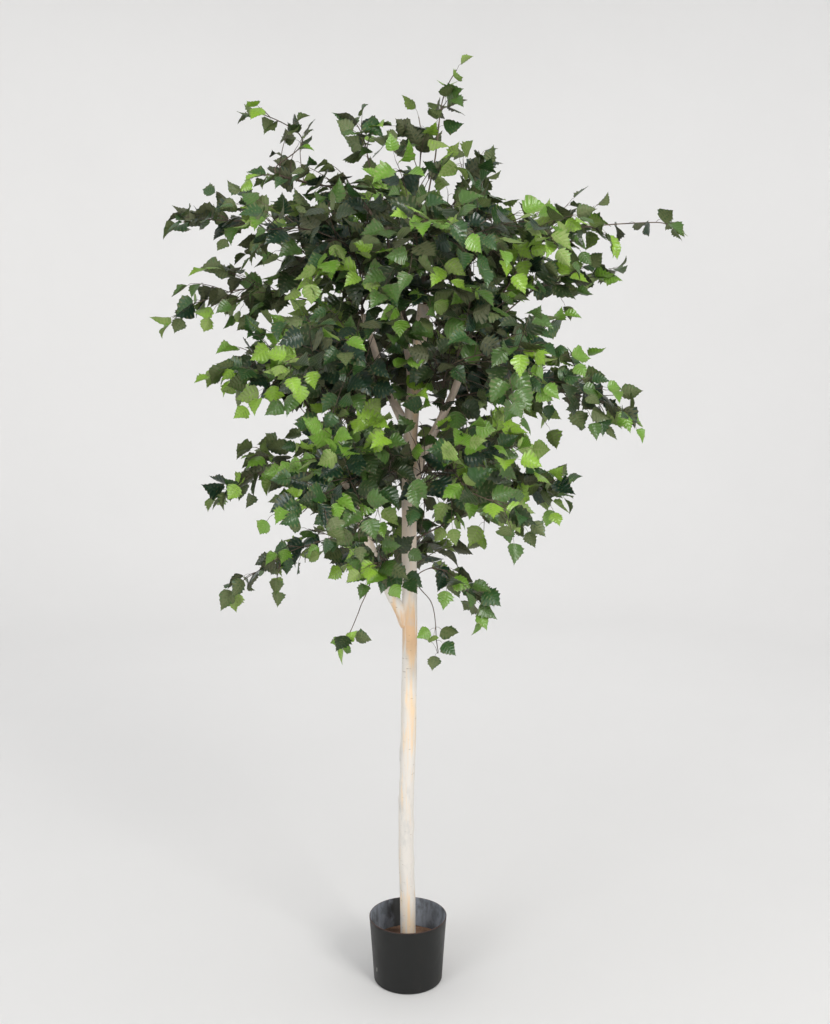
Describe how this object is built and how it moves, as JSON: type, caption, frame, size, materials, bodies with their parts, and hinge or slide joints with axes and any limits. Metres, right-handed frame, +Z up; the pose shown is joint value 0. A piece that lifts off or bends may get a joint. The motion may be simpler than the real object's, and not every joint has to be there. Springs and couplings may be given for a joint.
{
  "type": "artificial birch tree in a pot",
  "caption": "Artificial birch tree: a pale painted wooden pole with side stems and wired sprays of green leaves, standing in a black plastic pot.",
  "frame": {"origin": "centre of the pot's flat underside", "axes": "+Z up along the trunk, +X to the right of the front view, +Y to the back"},
  "size_m": [1.3226, 1.0391, 2.396],
  "materials": {
    "pot_plastic": "satin near-black moulded plastic with faint scuffs",
    "pot_filler": "rough brown painted filler",
    "painted_wood": "whitewashed sanded wood with orange-tan patches showing through",
    "wire_bark": "dark brown plastic-coated wire",
    "leaves": "glossy printed fabric leaves in dark, middle and lime green"
  },
  "bodies": {
    "root": {"pot": "pot_plastic", "pot_fill": "pot_filler", "trunk": "painted_wood", "left_stem": "painted_wood", "right_stem": "painted_wood", "left_stub": "painted_wood", "back_stub": "painted_wood", "main_leader": "wire_bark", "left_leader": "wire_bark", "upper_left_tip": "leaves", "upper_left": "leaves", "high_left": "leaves", "middle_left": "leaves", "low_left": "leaves", "lower_left": "leaves", "bottom_left": "leaves", "bottom_front": "leaves", "bottom_right": "leaves", "low_right": "leaves", "middle_right": "leaves", "high_right": "leaves", "upper_right": "leaves", "upper_right_tip": "leaves", "top_spire": "leaves", "top_left": "leaves", "top_right": "leaves", "top_middle": "leaves", "hanging_left": "leaves", "hanging_right": "leaves", "bottom_back_leaves": "leaves", "bottom_back_left_leaves": "leaves", "low_right_leaves": "leaves", "low_back_right_leaves": "leaves", "low_back_left_leaves": "leaves", "low_left_leaves": "leaves", "low_front_left_leaves": "leaves", "low_front_right_leaves": "leaves", "middle_right_leaves": "leaves", "middle_back_right_leaves": "leaves", "middle_back_left_leaves": "leaves", "middle_left_leaves": "leaves", "middle_front_left_leaves": "leaves", "middle_front_right_leaves": "leaves", "high_right_leaves": "leaves", "high_back_right_leaves": "leaves", "high_back_left_leaves": "leaves", "high_left_leaves": "leaves", "high_front_left_leaves": "leaves", "high_front_leaves": "leaves", "high_front_right_leaves": "leaves", "bottom_left_bough": "wire_bark", "bottom_right_bough": "wire_bark", "hanging_left_bough": "wire_bark", "hanging_right_bough": "wire_bark", "bottom_back_left_bough": "wire_bark", "bottom_front_bough": "wire_bark", "low_front_left_bough": "wire_bark", "low_front_right_bough": "wire_bark", "low_back_left_bough": "wire_bark", "low_back_right_bough": "wire_bark"}
  },
  "joints": []
}
